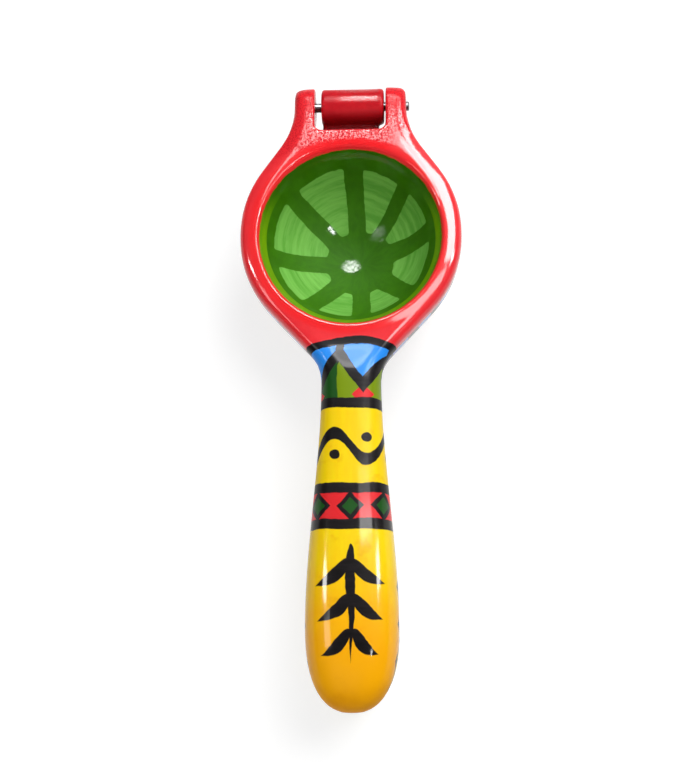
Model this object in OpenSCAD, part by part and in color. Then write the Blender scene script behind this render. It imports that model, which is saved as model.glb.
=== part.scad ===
// Hand-held citrus press: two hinged castings that squeeze half a lime between a dome and a cup.
// The cup stands on its flat foot at z = 0, +Z runs up the cup's axis, and the hinge lies towards +Y.

/* [Rims] */
// Outer diameter of the press rim
rim_d = 76; // [70:0.5:84]
// How far the rims are drawn out towards the hinge, past a true circle
rim_stretch = 1.6; // [0:0.1:5]
// Width of the press rim between its outer edge and the bowl's mouth
rim_w = 7; // [6:0.25:9]
// Thickness of the press rim
press_rim_t = 7; // [6:0.5:9]
// Thickness of the cup rim
cup_rim_t = 7; // [5:0.5:8]
// How far the cup rim and handle stand in from the press rim and handle
cup_inset = 0.3; // [0.2:0.1:1]
// Gap between the closed rims
rim_gap = 0.3; // [0.2:0.05:0.6]
// Width of the rounding along the outer edge of the press rim
rim_edge = 4.5; // [3:0.25:5]
// Height of that rounding
rim_edge_h = 3; // [2:0.25:5]
// Rounding along the lower edge of the cup rim
cup_edge = 2; // [1:0.25:3]

/* [Press bowl] */
// Rounding of the mouth's edge
mouth_edge = 2.5; // [1.5:0.25:3]
// Depth of the bowl below the rim's top
bowl_depth = 23; // [19:0.5:27]
// Wall of the dome
bowl_wall = 3; // [2.5:0.25:4]
// Height of the sloped lip inside the mouth
lip_h = 2.5; // [1.5:0.25:3]
// Width of that lip
lip_w = 2; // [1.6:0.1:2.6]
// Diameter of the dish in the bowl's bottom
dish_d = 20; // [14:0.5:24]
// Depth of that dish
dish_depth = 1; // [0.5:0.1:1.4]

/* [Cup] */
// Gap between the dome and the cup at the rim
side_gap = 2.4; // [1.8:0.1:3]
// Gap under the dome for the pressed peel
floor_gap = 4.8; // [4.5:0.1:7]
// Wall of the cup at the rim
cup_wall = 2.8; // [2.4:0.1:3.4]
// Thickness of the cup's floor
floor_t = 3; // [2.5:0.25:5]
// Diameter of the flat foot
foot_d = 25; // [22:0.5:30]
// Diameter of one drain hole
drain_d = 4.5; // [3.5:0.1:5]
// Number of drains in the inner ring
inner_drains = 6; // [4:1:6]
// Diameter of the inner ring of drains
inner_ring_d = 15; // [13:0.5:17]
// Number of drains in the outer ring
outer_drains = 12; // [8:1:14]
// Diameter of the outer ring of drains
outer_ring_d = 40; // [32:0.5:44]

/* [Hinge] */
// Distance from the rim's edge to the hinge pin
hinge_out = 9.2; // [8.5:0.1:14]
// Diameter of the pin
pin_d = 3.2; // [2.5:0.1:4]
// Radial clearance of the pin in the ears, a light drive fit
ear_fit = 0.01; // [0.005:0.005:0.02]
// Radial clearance of the pin in the barrel, a running fit
barrel_play = 0.06; // [0.03:0.01:0.1]
// How far the pin stands out of the right ear
pin_proud = 1; // [0:0.25:2]
// How far the pin lies below the face of the left ear
pin_sunk = 0.6; // [0.2:0.1:1.5]
// Bevel on the pin's ends
pin_bevel = 0.3; // [0.1:0.1:0.5]
// Diameter of the round ends of the ears
ear_d = 13.4; // [11.5:0.1:14]
// Thickness of one ear
ear_t = 7.2; // [5:0.1:9]
// Rounding of the left ear's outer corner
left_corner = 2; // [1:0.25:4.5]
// Rounding of the right ear's outer corner, which is filed rounder
right_corner = 4; // [2:0.25:4.5]
// Width of the slot between the ears
slot_w = 24.6; // [20:0.2:28]
// Rounding in the slot's corners
slot_corner = 2; // [1:0.25:3]
// Gap between the barrel and the bottom of the slot
slot_gap = 4.3; // [3:0.1:5]
// Diameter of the hinge barrel
barrel_d = 12.6; // [11:0.1:13.2]
// Gap between the left ear and the barrel
left_gap = 2.2; // [0.4:0.1:3]
// Gap between the right ear and the barrel
right_gap = 0.6; // [0.4:0.1:3]
// Bevel on the barrel's ends
barrel_bevel = 0.6; // [0.3:0.1:1]
// How far the tongue that carries the barrel stands in from the barrel's left end
tongue_inset = 0.6; // [0.4:0.1:3]
// How far the tongue's underside lies above the barrel's
tongue_rise = 0.8; // [0.5:0.1:1.5]

/* [Handles] */
// Length of the press handle from the rim's edge to its tip
handle_len = 122; // [100:1:150]
// How far the cup handle ends short of the press handle
tip_short = 2; // [1:0.5:6]
// Width of the press handle at its neck
neck_w = 20.2; // [17:0.2:22]
// Greatest width of the press handle
grip_w = 30.8; // [24:0.2:33]
// Length of the rounded tip
tip_len = 28; // [18:1:32]
// Bluntness of the tip: 2 is an ellipse, more is squarer
tip_blunt = 2.4; // [2:0.1:3]
// Height of the press handle at the neck
neck_h = 9.6; // [8.5:0.1:12]
// Height of the press handle at its widest
grip_h = 13.4; // [11:0.1:16]
// Bluntness of the handles' arch: 2 is an ellipse, more is squarer
arch_blunt = 2.5; // [2:0.1:3]
// Depth of the cup handle at the neck
cup_neck_h = 9; // [8:0.1:11]
// Depth of the cup handle at its widest
cup_grip_h = 13; // [11:0.1:15]
// Wall of the hollow handles
handle_wall = 3.4; // [2.8:0.1:4.5]
// Slope of the shoulders between the rim and the ears, in degrees off the press's axis
shoulder_lean = 36; // [30:0.5:48]
// Hollow fillet between the shoulders and the ears
shoulder_fillet = 26; // [14:1:32]
// Slope of the sides between the rim and the neck, in degrees off the press's axis
neck_lean = 43; // [36:0.5:50]
// Hollow fillet between those sides and the neck
neck_fillet = 14; // [8:1:24]
// Slope of the sides between the cup rim and the tongue, in degrees off the press's axis
tongue_lean = 66; // [50:1:72]
// Hollow fillet between the cup rim and the tongue
tongue_fillet = 6; // [4:0.5:8]
// Length over which the cup handle bends down
bend_len = 24; // [10:1:40]

/* [Hidden] */
$fn = 96;

// Margin by which cuts run past the faces that they open
cut_over = 1;
// How far the mouth's rounding would stand above the rim, so that it meets the rim's top at an angle
mouth_rise = 0.1;
// Half-width of the flat line along the crown of a handle
crown_flat = 0.4;
// Height of the upright side below a handle's arch
arch_side = 1.2;
// Facets in one quarter of a section, and greatest distances between sections
arc_steps = 12;
rim_step = 3;
grip_step = 6;
// Sections round an ear, a tip and the end of a hollow, and the angles at which the round ends stop
ear_steps = 20;
ear_stop = 5;
tip_steps = 11;
tip_stop = 88;
core_steps = 5;
core_stop = 80;
// Spacing of the points at which the cup handle is held clear of the ground
ground_step = 0.5;

rim_r = rim_d / 2;
mouth_r = rim_r - rim_w;
cup_rim_r = rim_r - cup_inset;

// Hinge: the pin lies in the parting plane between the rims
hinge_y = rim_r + rim_stretch + hinge_out;
ear_r = ear_d / 2;
ear_end = hinge_y + ear_r;
ears_w = slot_w + 2 * ear_t;
slot_y = hinge_y - barrel_d / 2 - slot_gap;
barrel_left = left_gap - slot_w / 2;
barrel_right = slot_w / 2 - right_gap;
tongue_half = -barrel_left - tongue_inset;
tongue_t = barrel_d / 2 - rim_gap - tongue_rise;

// The bowl's sphere runs through the foot of the lip and the bottom, and the dome shares its centre
lip_top = press_rim_t - mouth_edge;
lip_low = lip_top - lip_h;
bowl_low = press_rim_t - bowl_depth;
bowl_z = sphere_centre(mouth_r - lip_w, lip_low, 0, bowl_low);
bowl_r = bowl_z - bowl_low;
dome_r = bowl_r + bowl_wall;
dome_rim_r = sqrt(dome_r * dome_r - bowl_z * bowl_z);
dome_low = bowl_z - dome_r;

// Height of the parting plane above the foot
part_z = floor_t + floor_gap - dome_low;

// The cup's inside runs through its rim and floor, its outside through its rim and the foot's edge
cup_in_rim_r = dome_rim_r + side_gap;
cup_in_z = sphere_centre(cup_in_rim_r, 0, 0, floor_t - part_z);
cup_in_r = cup_in_z + part_z - floor_t;
cup_out_rim_r = cup_in_rim_r + cup_wall;
cup_out_z = sphere_centre(cup_out_rim_r, 0, foot_d / 2, -part_z);
cup_out_r = sqrt(pow(cup_out_rim_r, 2) + pow(cup_out_z, 2));

// Where the hollow fillet of each neck ends, the grip is widest and each tip ends
press_neck_y = -fillet_far(rim_r, neck_w / 2, neck_fillet, neck_lean);
cup_neck_y = -fillet_far(cup_rim_r, neck_w / 2 - cup_inset, neck_fillet, neck_lean);
press_tip_y = -rim_r - handle_len;
cup_tip_y = press_tip_y + tip_short;
grip_y = press_tip_y + tip_len;

// Height on the axis of a sphere's centre, from two circles that lie on the sphere
function sphere_centre(r1, z1, r2, z2) = (r1 * r1 + z1 * z1 - r2 * r2 - z2 * z2) / (2 * (z1 - z2));

function unit(t) = max(0, min(1, t));
function ease(t) = let (u = unit(t)) u * u * (3 - 2 * u);
function mix(a, b, t) = a + (b - a) * t;
function round_off(t) = pow(1 - pow(unit(t), tip_blunt), 1 / tip_blunt);

// A line leaves a rim as its tangent and runs into a straight side through a hollow fillet. The slope
// is held to the one at which the fillet would meet the rim itself
function flank_lean(r, side, fillet, lean) = min(lean, acos((side + fillet) / (r + fillet)));

// Distance from the rim's centre at which that fillet runs out
function fillet_far(r, side, fillet, lean) =
    let (a = flank_lean(r, side, fillet, lean))
    (r / cos(a) - side) / tan(a) + fillet * tan(a / 2);

// Half-width of a rim, its sloping line and its straight side at a distance out from the rim's centre
function flank(out, r, side, fillet, lean) =
    let (a = flank_lean(r, side, fillet, lean), far = fillet_far(r, side, fillet, lean))
    out >= far ? side
    : out > far - fillet * sin(a) ? side + fillet - sqrt(fillet * fillet - pow(far - out, 2))
    : out > r * sin(a) ? r / cos(a) - out * tan(a)
    : sqrt(r * r - pow(max(0, out), 2));

// How far a section has turned from a rim with rounded edges into a handle's arch, 0 to 1
function arch_share(y, neck_y) =
    let (start = mouth_r + mouth_edge + rim_step)
    y > 0 ? 0 : ease((-y - start) / (-neck_y - start));

// How far a section has come from the neck to the widest place of the grip, and the tip's rounding
function grip_share(y, neck_y) = ease((neck_y - y) / (neck_y - grip_y));
function tip_share(y, tip_y) = round_off((grip_y - y) / (grip_y - tip_y));

// Half-width of a handle, and its height over its flat side from the rim to the tip
function handle_half(y, neck_y, tip_y, inset) =
    mix(neck_w / 2, grip_w / 2, grip_share(y, neck_y)) * tip_share(y, tip_y) - inset * tip_share(y, tip_y);
function handle_high(y, neck_y, tip_y, rim_t, neck_t, grip_t) =
    mix(mix(rim_t, neck_t, arch_share(y, neck_y)), grip_t, grip_share(y, neck_y)) * tip_share(y, tip_y);

// Plan of the press casting
function press_half(y) =
    y > 0 ? flank(y - rim_stretch, rim_r, ears_w / 2, shoulder_fillet, shoulder_lean) - corner_cut(y)
    : y > press_neck_y ? flank(-y, rim_r, neck_w / 2, neck_fillet, neck_lean)
    : handle_half(y, press_neck_y, press_tip_y, 0);
// In the skin both ears' corners are rounded like the left one's; the right one is cut further
function corner_cut(y) =
    let (past = y - ear_end + left_corner)
    past > 0 ? left_corner - sqrt(left_corner * left_corner - past * past) : 0;

// Side view of the press casting, whose ears are round about the pin
function ear_high(y) = sqrt(max(0, ear_r * ear_r - pow(y - hinge_y, 2)));
function press_flat(y) = y > hinge_y - ear_r ? -ear_high(y) : 0;
function press_high(y) =
    y > hinge_y ? ear_high(y)
    : y > 0 ? mix(press_rim_t, ear_r, ease((y - mouth_r) / (hinge_y - mouth_r)))
    : handle_high(y, press_neck_y, press_tip_y, press_rim_t, neck_h, grip_h);

// Plan and side view of the cup casting, whose tongue fits between the ears
function cup_half(y) =
    y > 0 ? flank(y - rim_stretch, cup_rim_r, tongue_half, tongue_fillet, tongue_lean)
    : y > cup_neck_y ? flank(-y, cup_rim_r, neck_w / 2 - cup_inset, neck_fillet, neck_lean)
    : handle_half(y, cup_neck_y, cup_tip_y, cup_inset);
function cup_deep(y) =
    y > 0 ? mix(cup_rim_t, tongue_t, ease((y - mouth_r) / (hinge_y - mouth_r)))
    : handle_high(y, cup_neck_y, cup_tip_y, cup_rim_t, cup_neck_h, cup_grip_h);

// The cup handle bends down until its lowest line meets the plane that the foot stands on
function bend_shape(y) =
    let (out = cup_neck_y - y)
    out < 0 ? 0 : out < bend_len ? out * out / (2 * bend_len) : out - bend_len / 2;
bend_slope = min([
    for (y = [grip_y:-ground_step:cup_tip_y]) (part_z - rim_gap - cup_deep(y)) / bend_shape(y)
]);
function cup_flat(y) = rim_gap + bend_slope * bend_shape(y);

// One section, from the right end of its flat side over the crown to the left end
function section(half, flat, high, edge, edge_h, blunt) = concat(
    [[half, flat]],
    [for (i = [0:arc_steps]) edge_point(1, i * 90 / arc_steps, half, flat + high, edge, edge_h, blunt)],
    [for (i = [arc_steps:-1:0]) edge_point(-1, i * 90 / arc_steps, half, flat + high, edge, edge_h, blunt)],
    [[-half, flat]]
);
function edge_point(side, a, half, crown, edge, edge_h, blunt) =
    [
        side * (half - edge + edge * pow(cos(a), 2 / blunt)),
        crown - edge_h + edge_h * pow(sin(a), 2 / blunt)
    ];

// A section whose edges turn from the rim's rounding into a full arch
function cast_section(half, flat, high, share, edge, edge_h) =
    section(
        half, flat, high,
        mix(min(edge, half / 2), half - crown_flat * min(1, half / neck_w), share),
        mix(min(edge_h, high / 2), high - arch_side * min(1, high / neck_h), share),
        mix(2, arch_blunt, share)
    );

// Places of the sections along Y, closer where the outline turns
function run_ys(from, to, step) =
    let (count = ceil(abs(to - from) / step))
    [for (i = [1:count]) mix(from, to, i / count)];
function tip_ys(tip_y) = [for (i = [1:tip_steps]) mix(grip_y, tip_y, sin(tip_stop * i / tip_steps))];
function handle_ys(neck_y, tip_y) = concat(run_ys(neck_y, grip_y, grip_step), tip_ys(tip_y));
ear_ys = [for (i = [0:ear_steps]) hinge_y + ear_r * cos(mix(ear_stop, 180, i / ear_steps))];
press_ys = concat(
    ear_ys,
    run_ys(hinge_y - ear_r, press_neck_y, rim_step),
    handle_ys(press_neck_y, press_tip_y)
);
cup_ys = concat(
    [hinge_y],
    run_ys(hinge_y, cup_neck_y, rim_step),
    handle_ys(cup_neck_y, cup_tip_y)
);

// Skin through sections that are listed towards -Y
module loft(ys, sections) {
    n = len(sections[0]);
    last = len(ys) - 1;
    polyhedron(
        points = [for (i = [0:last]) for (p = sections[i]) [p.x, ys[i], p.y]],
        faces = concat(
            [[for (j = [0:n - 1]) j]],
            [for (i = [0:last - 1]) for (j = [0:n - 1]) for (face = loft_faces(i * n, j, n)) face],
            [[for (j = [n - 1:-1:0]) last * n + j]]
        )
    );
}
function loft_faces(start, j, n) =
    let (next = (j + 1) % n)
    [
        [start + j, start + n + j, start + n + next],
        [start + j, start + n + next, start + next]
    ];

module press_skin() {
    loft(press_ys, [for (y = press_ys)
        cast_section(
            press_half(y), press_flat(y), press_high(y) - press_flat(y),
            arch_share(y, press_neck_y), rim_edge, rim_edge_h
        )]);
}

module cup_skin() {
    mirror([0, 0, 1])
        loft(cup_ys, [for (y = cup_ys)
            cast_section(
                cup_half(y), cup_flat(y), cup_deep(y),
                arch_share(y, cup_neck_y), cup_edge, cup_edge
            )]);
}

// A handle's hollow starts where the neck ends, follows the skin at the wall's thickness
// and is rounded at both ends
core_round = neck_w / 2 - handle_wall;
function core_ys(neck_y, tip_y) = concat(
    [for (i = [core_steps:-1:1]) neck_y - core_round + core_round * sin(core_stop * i / core_steps)],
    [neck_y - core_round],
    run_ys(neck_y - core_round, grip_y, grip_step),
    [for (i = [1:2 * core_steps])
        mix(grip_y, tip_y + handle_wall, sin(core_stop * i / (2 * core_steps)))]
);
function core_share(y, neck_y, tip_y) =
    round_off((y - neck_y + core_round) / core_round) * tip_share(y, tip_y + handle_wall);
function core_section(y, neck_y, tip_y, half, high, flat) =
    let (
        share = core_share(y, neck_y, tip_y),
        core_half = (half / tip_share(y, tip_y) - handle_wall) * share,
        core_high = (high / tip_share(y, tip_y) - handle_wall) * share
    )
    section(
        core_half, flat - cut_over, core_high + cut_over,
        core_half - crown_flat * share, core_high, arch_blunt
    );

module press_core() {
    ys = core_ys(press_neck_y, press_tip_y);
    loft(ys, [for (y = ys)
        core_section(y, press_neck_y, press_tip_y, press_half(y), press_high(y), 0)]);
}

module cup_core() {
    ys = core_ys(cup_neck_y, cup_tip_y);
    mirror([0, 0, 1])
        loft(ys, [for (y = ys)
            core_section(y, cup_neck_y, cup_tip_y, cup_half(y), cup_deep(y), cup_flat(y))]);
}

// The bowl's inside, with the dish in its bottom, the lip and the rounded mouth
module bowl_cut() {
    dish_rim_z = bowl_z - sqrt(bowl_r * bowl_r - dish_d * dish_d / 4);
    dish_low = bowl_low - dish_depth;
    dish_z = sphere_centre(dish_d / 2, dish_rim_z, 0, dish_low);
    translate([0, 0, bowl_z])
        sphere(bowl_r);
    translate([0, 0, dish_z])
        sphere(dish_z - dish_low);
    translate([0, 0, lip_low])
        cylinder(r1 = mouth_r - lip_w, r2 = mouth_r, h = lip_h);
    translate([0, 0, lip_top])
        rotate_extrude()
            difference() {
                square([mouth_r + mouth_edge, mouth_edge + cut_over]);
                translate([mouth_r + mouth_edge, mouth_rise])
                    circle(mouth_edge);
            }
}

// The part of a sphere on the axis that lies between two heights
module sphere_zone(r, centre_z, low, high) {
    intersection() {
        translate([0, 0, centre_z])
            sphere(r);
        translate([0, 0, low])
            cylinder(r = r + cut_over, h = high - low);
    }
}

// The opening between the ears, with rounded corners at the rim
module slot_cut() {
    corner_x = slot_w / 2 - slot_corner;
    deep = ear_d + 2 * press_rim_t;
    translate([0, slot_y, -deep / 2])
        linear_extrude(deep) {
            for (side = [-1, 1])
                translate([side * corner_x, slot_corner])
                    circle(slot_corner);
            translate([-corner_x, 0])
                square([2 * corner_x, slot_corner]);
            translate([-slot_w / 2, slot_corner])
                square([slot_w, ear_end - slot_y]);
        }
}

// The right ear's outer corner, past its rounding
module right_corner_cut() {
    deep = 2 * ear_d;
    translate([ears_w / 2 - right_corner, ear_end - right_corner, -deep / 2])
        linear_extrude(deep)
            difference() {
                square(right_corner + cut_over);
                circle(right_corner);
            }
}

module drain_ring(count, ring_d) {
    for (i = [0:count - 1])
        rotate([0, 0, (i + 0.5) * 360 / count])
            translate([ring_d / 2, 0, -part_z - cut_over])
                cylinder(d = drain_d, h = part_z);
}

// A round bar along X at the hinge, with bevelled ends
module bevelled_bar(from, to, d, bevel) {
    bar = to - from;
    translate([from, hinge_y, 0])
        rotate([0, 90, 0])
            rotate_extrude()
                polygon([
                    [0, 0],
                    [d / 2 - bevel, 0],
                    [d / 2, bevel],
                    [d / 2, bar - bevel],
                    [d / 2 - bevel, bar],
                    [0, bar]
                ]);
}

module pin_bore(play) {
    translate([-ears_w, hinge_y, 0])
        rotate([0, 90, 0])
            cylinder(d = pin_d + 2 * play, h = 2 * ears_w);
}

// Upper casting: rim, hollow dome, ears and handle
module press_lever() {
    color("crimson")
        translate([0, 0, part_z])
            difference() {
                union() {
                    press_skin();
                    sphere_zone(dome_r, bowl_z, dome_low - cut_over, press_rim_t / 2);
                }
                bowl_cut();
                slot_cut();
                right_corner_cut();
                press_core();
                pin_bore(ear_fit);
            }
}

// Lower casting: rim, drained cup, tongue with the hinge barrel, and handle
module cup_lever() {
    color("lightskyblue")
        translate([0, 0, part_z])
            difference() {
                union() {
                    cup_skin();
                    sphere_zone(cup_out_r, cup_out_z, -part_z, -rim_gap - cup_rim_t / 2);
                    bevelled_bar(barrel_left, barrel_right, barrel_d, barrel_bevel);
                }
                translate([0, 0, cup_in_z])
                    sphere(cup_in_r);
                cup_core();
                drain_ring(inner_drains, inner_ring_d);
                drain_ring(outer_drains, outer_ring_d);
                pin_bore(barrel_play);
            }
}

// Steel pin, driven into the ears and free in the barrel
module hinge_pin() {
    color("dimgray")
        translate([0, 0, part_z])
            bevelled_bar(pin_sunk - ears_w / 2, ears_w / 2 + pin_proud, pin_d, pin_bevel);
}

press_lever();
cup_lever();
hinge_pin();
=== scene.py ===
import math

import bmesh
import bpy
import numpy as np
from mathutils import Matrix, Quaternion, Vector
from mathutils.kdtree import KDTree


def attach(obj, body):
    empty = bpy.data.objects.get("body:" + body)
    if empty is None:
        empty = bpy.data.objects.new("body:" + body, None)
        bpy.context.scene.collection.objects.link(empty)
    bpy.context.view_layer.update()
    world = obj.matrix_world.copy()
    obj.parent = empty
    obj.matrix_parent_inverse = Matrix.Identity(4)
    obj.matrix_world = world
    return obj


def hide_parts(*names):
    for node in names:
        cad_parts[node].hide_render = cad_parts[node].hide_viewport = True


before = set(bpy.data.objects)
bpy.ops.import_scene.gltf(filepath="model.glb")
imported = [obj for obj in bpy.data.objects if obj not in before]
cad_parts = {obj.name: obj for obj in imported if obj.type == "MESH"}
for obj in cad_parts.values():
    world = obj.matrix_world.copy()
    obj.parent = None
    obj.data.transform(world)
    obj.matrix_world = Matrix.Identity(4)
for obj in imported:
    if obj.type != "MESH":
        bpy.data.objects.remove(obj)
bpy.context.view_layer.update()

scene = bpy.context.scene
scene.view_settings.view_transform = "Standard"

partZ = 26.8    # height of the parting plane, mm
lowerHandle = {"bendAt": 62.3, "slope": 0.176}    # the lower handle droops past this distance, mm


# Small tools for node trees


def feed(tree, socket, value):
    if isinstance(value, Wire):
        tree.links.new(value.socket, socket)
    elif isinstance(value, bpy.types.NodeSocket):
        tree.links.new(value, socket)
    else:
        socket.default_value = value


def put(tree, kind, inputs=None, **settings):
    node = tree.nodes.new(kind)
    for key, value in settings.items():
        setattr(node, key, value)
    for key, value in (inputs or {}).items():
        feed(tree, node.inputs[key], value)
    return node


class Wire:
    # A socket that takes part in sums, so that a pattern reads as its formula
    def __init__(self, tree, socket):
        self.tree = tree
        self.socket = socket

    def calc(self, operation, *others):
        node = self.tree.nodes.new("ShaderNodeMath")
        node.operation = operation
        for socket, value in zip(node.inputs, (self, *others)):
            feed(self.tree, socket, value)
        return Wire(self.tree, node.outputs[0])

    def __add__(self, other):
        return self.calc("ADD", other)

    def __sub__(self, other):
        return self.calc("SUBTRACT", other)

    def __rsub__(self, other):
        return self.calc("MULTIPLY", -1.0).calc("ADD", other)

    def __mul__(self, other):
        return self.calc("MULTIPLY", other)

    def __truediv__(self, other):
        return self.calc("DIVIDE", other)

    __radd__ = __add__
    __rmul__ = __mul__

    def ease(self, low, high):
        node = put(self.tree, "ShaderNodeMapRange", interpolation_type="SMOOTHSTEP")
        feed(self.tree, node.inputs["Value"], self)
        feed(self.tree, node.inputs["From Min"], low)
        feed(self.tree, node.inputs["From Max"], high)
        return Wire(self.tree, node.outputs["Result"])

    def abs(self):
        return self.calc("ABSOLUTE")

    def sin(self):
        return self.calc("SINE")

    def fold(self, half):
        return self.calc("PINGPONG", half)

    def low(self, other):
        return self.calc("MINIMUM", other)

    def high(self, other):
        return self.calc("MAXIMUM", other)

    def softLow(self, other, width):
        return self.calc("SMOOTH_MIN", other, width)

    def turn(self, other):
        return self.calc("ARCTAN2", other)


def tone(red, green, blue):
    # A colour as picked on screen, 0 to 255, turned into the linear light that nodes use
    def linear(c):
        c = c / 255
        return c / 12.92 if c <= 0.04045 else ((c + 0.055) / 1.055) ** 2.4
    return (linear(red), linear(green), linear(blue), 1.0)


def blendColour(tree, share, under, over, kind="MIX"):
    node = tree.nodes.new("ShaderNodeMix")
    node.data_type = "RGBA"
    node.blend_type = kind
    feed(tree, node.inputs[0], share)
    feed(tree, node.inputs[6], under)
    feed(tree, node.inputs[7], over)
    return node.outputs[2]


def blendValue(tree, share, under, over):
    node = tree.nodes.new("ShaderNodeMix")
    node.data_type = "FLOAT"
    feed(tree, node.inputs[0], share)
    feed(tree, node.inputs[2], under)
    feed(tree, node.inputs[3], over)
    return Wire(tree, node.outputs[0])


def noise(tree, vector, scale, detail=2.0, roughness=0.5, output="Fac"):
    node = put(tree, "ShaderNodeTexNoise", {
        "Vector": vector, "Scale": scale, "Detail": detail, "Roughness": roughness,
    })
    return Wire(tree, node.outputs[output])


def axes(tree, vector):
    node = put(tree, "ShaderNodeSeparateXYZ", {"Vector": vector})
    return tuple(Wire(tree, node.outputs[i]) for i in range(3))


def span(a, b):
    return (a * a + b * b).calc("SQRT")


def smeared(value, cloud, reach):
    # A value whose limits wander by this reach
    return value + cloud * reach - reach / 2


def scaled(tree, vector, factor):
    node = put(tree, "ShaderNodeVectorMath", {0: vector}, operation="SCALE")
    node.inputs["Scale"].default_value = factor
    return Wire(tree, node.outputs[0])


def joined(tree, x, y, z):
    node = put(tree, "ShaderNodeCombineXYZ", {"X": x, "Y": y, "Z": z})
    return Wire(tree, node.outputs[0])


def streaked(tree, along, across, scales):
    # Coordinates for streaks: how fast they change both ways, and a third value that sets them apart
    return joined(tree, along * scales[0], across * scales[1], scales[2])


def newGroup(name, inputs, outputs):
    tree = bpy.data.node_groups.new(name, "ShaderNodeTree")
    for label, kind, value in inputs:
        socket = tree.interface.new_socket(label, in_out="INPUT", socket_type=kind)
        if value is not None:
            socket.default_value = value
    for label, kind in outputs:
        tree.interface.new_socket(label, in_out="OUTPUT", socket_type=kind)
    return tree, tree.nodes.new("NodeGroupInput"), tree.nodes.new("NodeGroupOutput")


def useGroup(tree, group, inputs):
    node = tree.nodes.new("ShaderNodeGroup")
    node.node_tree = group
    for key, value in inputs.items():
        feed(tree, node.inputs[key], value)
    return node


# Effects that both castings share; lengths in mm, noise as scale, detail, roughness

handWork = {
    "sway": (0.9, 15.0),     # slow wander of a painted line: reach and wavelength
    "shake": (0.22, 2.2),    # small tremble of the brush
}
brushWork = {
    "fine": (1.0, 3.0, 0.6), "fineShare": 0.6, "wide": (0.27, 1.0, 0.5), "wideShare": 0.4,
    "cover": (0.35, 0.68),
}
sandWork = {
    "grains": 1.15, "grainsHigh": 0.7, "pits": (1.6, 3.0, 0.6), "pitsHigh": 0.6,
    # tops take the lacquer; hollows take painted shade in the rim's red
    "speckle": (1.7, 2.0, 0.65), "tops": (0.49, 0.56), "shadedHollows": (0.52, 0.42),
}
metalWork = {
    "dark": tone(142, 143, 144), "light": tone(168, 169, 169), "spots": tone(112, 113, 114),
    "spotShare": 0.4,
    "cloud": (0.09, 4.0, 0.6), "cloudRange": (0.35, 0.7),
    "speck": (1.3, 2.0, 0.5), "speckRange": (0.6, 0.75),
    "rough": 0.36, "cloudRough": 0.25, "speckRough": 0.1,
}


def handGroup():
    # Coordinates that wander the way a hand-held brush does
    tree, given, out = newGroup(
        "handPainted", [("Place", "NodeSocketVector", None)], [("Place", "NodeSocketVector")],
    )
    spot = given.outputs["Place"]
    moved = spot
    for reach, wavelength in handWork.values():
        cloud = noise(tree, spot, 1 / wavelength, 1.0, 0.5, "Color")
        centred = put(tree, "ShaderNodeVectorMath", {0: cloud, 1: (0.5, 0.5, 0.5)}, operation="SUBTRACT")
        push = scaled(tree, centred.outputs[0], 2 * reach)
        total = put(tree, "ShaderNodeVectorMath", {0: moved, 1: push}, operation="ADD")
        moved = total.outputs[0]
    feed(tree, out.inputs["Place"], moved)
    return tree


def brushGroup():
    # Paint laid on with a brush: streaks along one direction, thin and thick spots
    tree, given, out = newGroup(
        "brushedPaint",
        [("Colour", "NodeSocketColor", (1, 1, 1, 1)), ("Thin", "NodeSocketColor", (1, 1, 1, 1)),
         ("Streaks", "NodeSocketVector", None), ("Amount", "NodeSocketFloat", 0.5)],
        [("Colour", "NodeSocketColor"), ("Height", "NodeSocketFloat")],
    )
    work = brushWork
    streaks = given.outputs["Streaks"]
    fine = noise(tree, streaks, *work["fine"])
    wide = noise(tree, streaks, *work["wide"])
    cover = (fine * work["fineShare"] + wide * work["wideShare"]).ease(*work["cover"])
    share = cover * Wire(tree, given.outputs["Amount"])
    mixed = blendColour(tree, share, given.outputs["Colour"], given.outputs["Thin"])
    feed(tree, out.inputs["Colour"], mixed)
    feed(tree, out.inputs["Height"], fine)
    return tree


def grainGroup():
    # Sand-cast skin under the paint
    tree, given, out = newGroup(
        "sandCast", [("Place", "NodeSocketVector", None)], [("Height", "NodeSocketFloat")],
    )
    work = sandWork
    spot = given.outputs["Place"]
    cells = {"Vector": spot, "Scale": work["grains"]}
    grains = put(tree, "ShaderNodeTexVoronoi", cells, feature="SMOOTH_F1")
    pits = noise(tree, spot, *work["pits"])
    height = Wire(tree, grains.outputs["Distance"]) * work["grainsHigh"] + pits * work["pitsHigh"]
    feed(tree, out.inputs["Height"], height)
    return tree


def metalGroup():
    # Bare aluminium as it comes out of the sand, duller in its hollows
    tree, given, out = newGroup(
        "bareCasting", [("Place", "NodeSocketVector", None)],
        [("Colour", "NodeSocketColor"), ("Roughness", "NodeSocketFloat")],
    )
    work = metalWork
    cloud = noise(tree, given.outputs["Place"], *work["cloud"])
    speck = noise(tree, given.outputs["Place"], *work["speck"])
    skin = blendColour(tree, cloud.ease(*work["cloudRange"]), work["dark"], work["light"])
    spots = speck.ease(*work["speckRange"]) * work["spotShare"]
    feed(tree, out.inputs["Colour"], blendColour(tree, spots, skin, work["spots"]))
    rough = cloud * work["cloudRough"] + speck * work["speckRough"] + work["rough"]
    feed(tree, out.inputs["Roughness"], rough)
    return tree


handPainted = handGroup()
brushedPaint = brushGroup()
sandCast = grainGroup()
bareCasting = metalGroup()


def newMaterial(name):
    material = bpy.data.materials.new(name)
    material.use_nodes = True
    tree = material.node_tree
    shader = tree.nodes["Principled BSDF"]
    coords = put(tree, "ShaderNodeTexCoord")
    return material, tree, shader, scaled(tree, coords.outputs["Object"], 1000.0)   # in mm


def stroke(distance):
    # A painted edge about a quarter of a millimetre soft; the distance is positive inside
    return distance.ease(-0.13, 0.13)


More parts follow.
